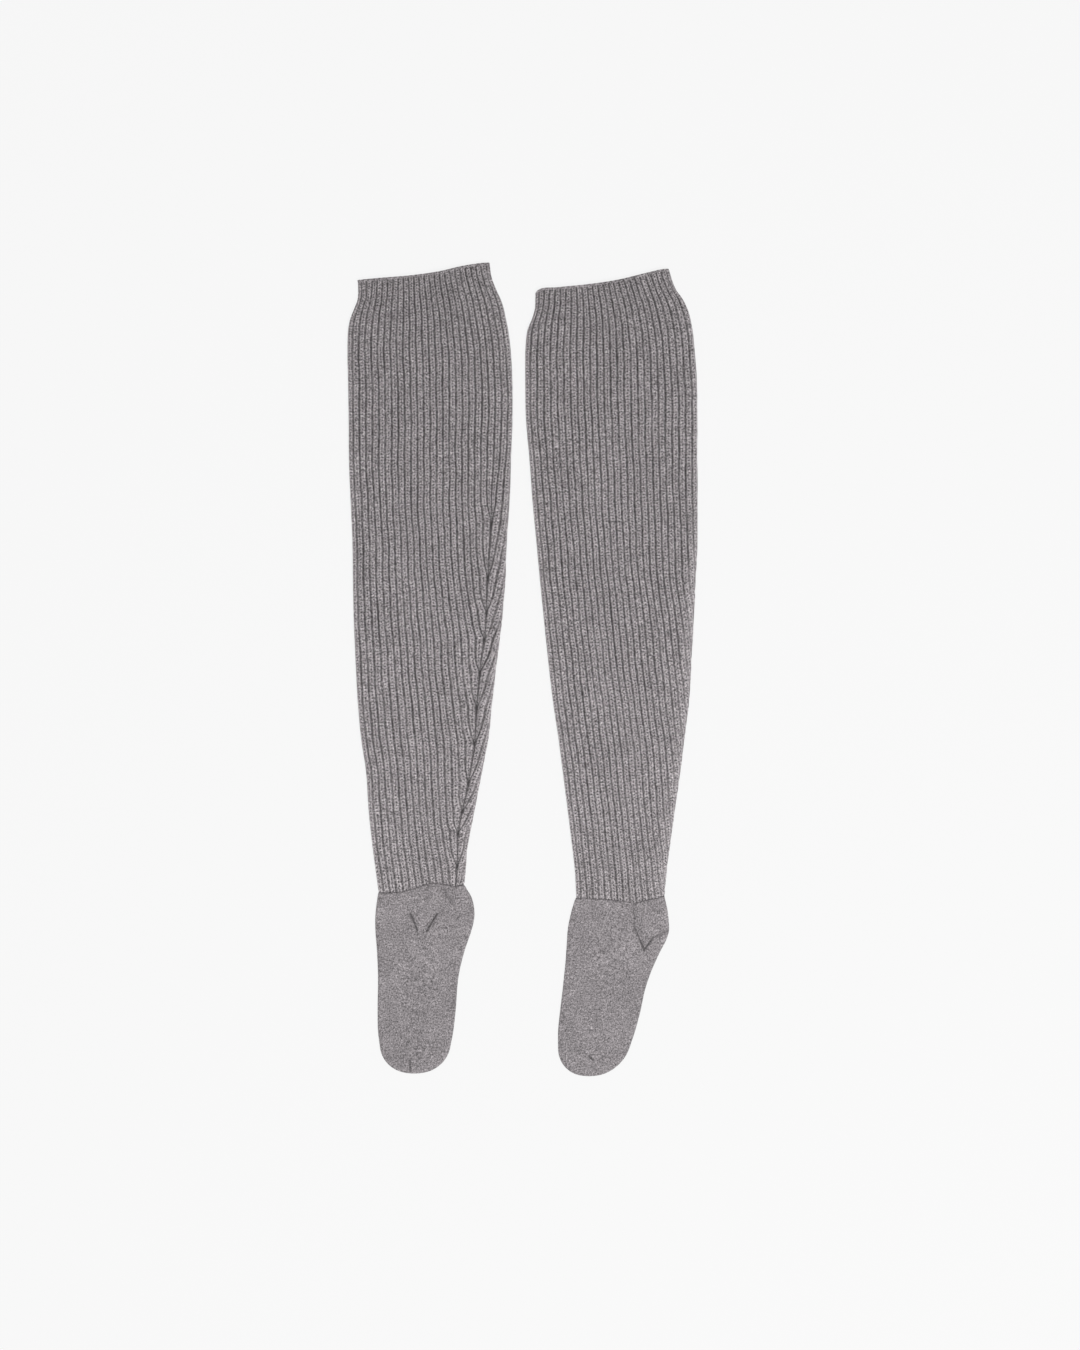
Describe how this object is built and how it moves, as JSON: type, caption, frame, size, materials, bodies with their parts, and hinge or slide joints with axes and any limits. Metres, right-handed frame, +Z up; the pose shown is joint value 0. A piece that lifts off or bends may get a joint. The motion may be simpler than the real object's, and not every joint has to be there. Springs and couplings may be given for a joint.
{
  "type": "pair of thigh-high socks",
  "caption": "Thigh-high knitted socks laid flat side by side: ribbed tapering legs with a drawn-in top and a shaping line, joined at the ankle to plain jersey feet.",
  "frame": {"origin": "middle of the pair's bounding box, on the surface that the socks lie on", "axes": "+Z up from that surface, +Y along the socks from the toes towards the mouths, +X from the left sock to the right one"},
  "size_m": [0.3685, 0.8531, 0.006],
  "materials": {
    "rib_knit_left": "grey melange rib knit, matt and slightly hairy",
    "jersey_knit_left": "grey melange plain jersey, matt and slightly hairy",
    "rib_knit_right": "grey melange rib knit, matt and slightly hairy",
    "jersey_knit_right": "grey melange plain jersey, matt and slightly hairy"
  },
  "bodies": {
    "root": {"leg_left": "rib_knit_left", "foot_left": "jersey_knit_left", "leg_right": "rib_knit_right", "foot_right": "jersey_knit_right"}
  },
  "joints": []
}
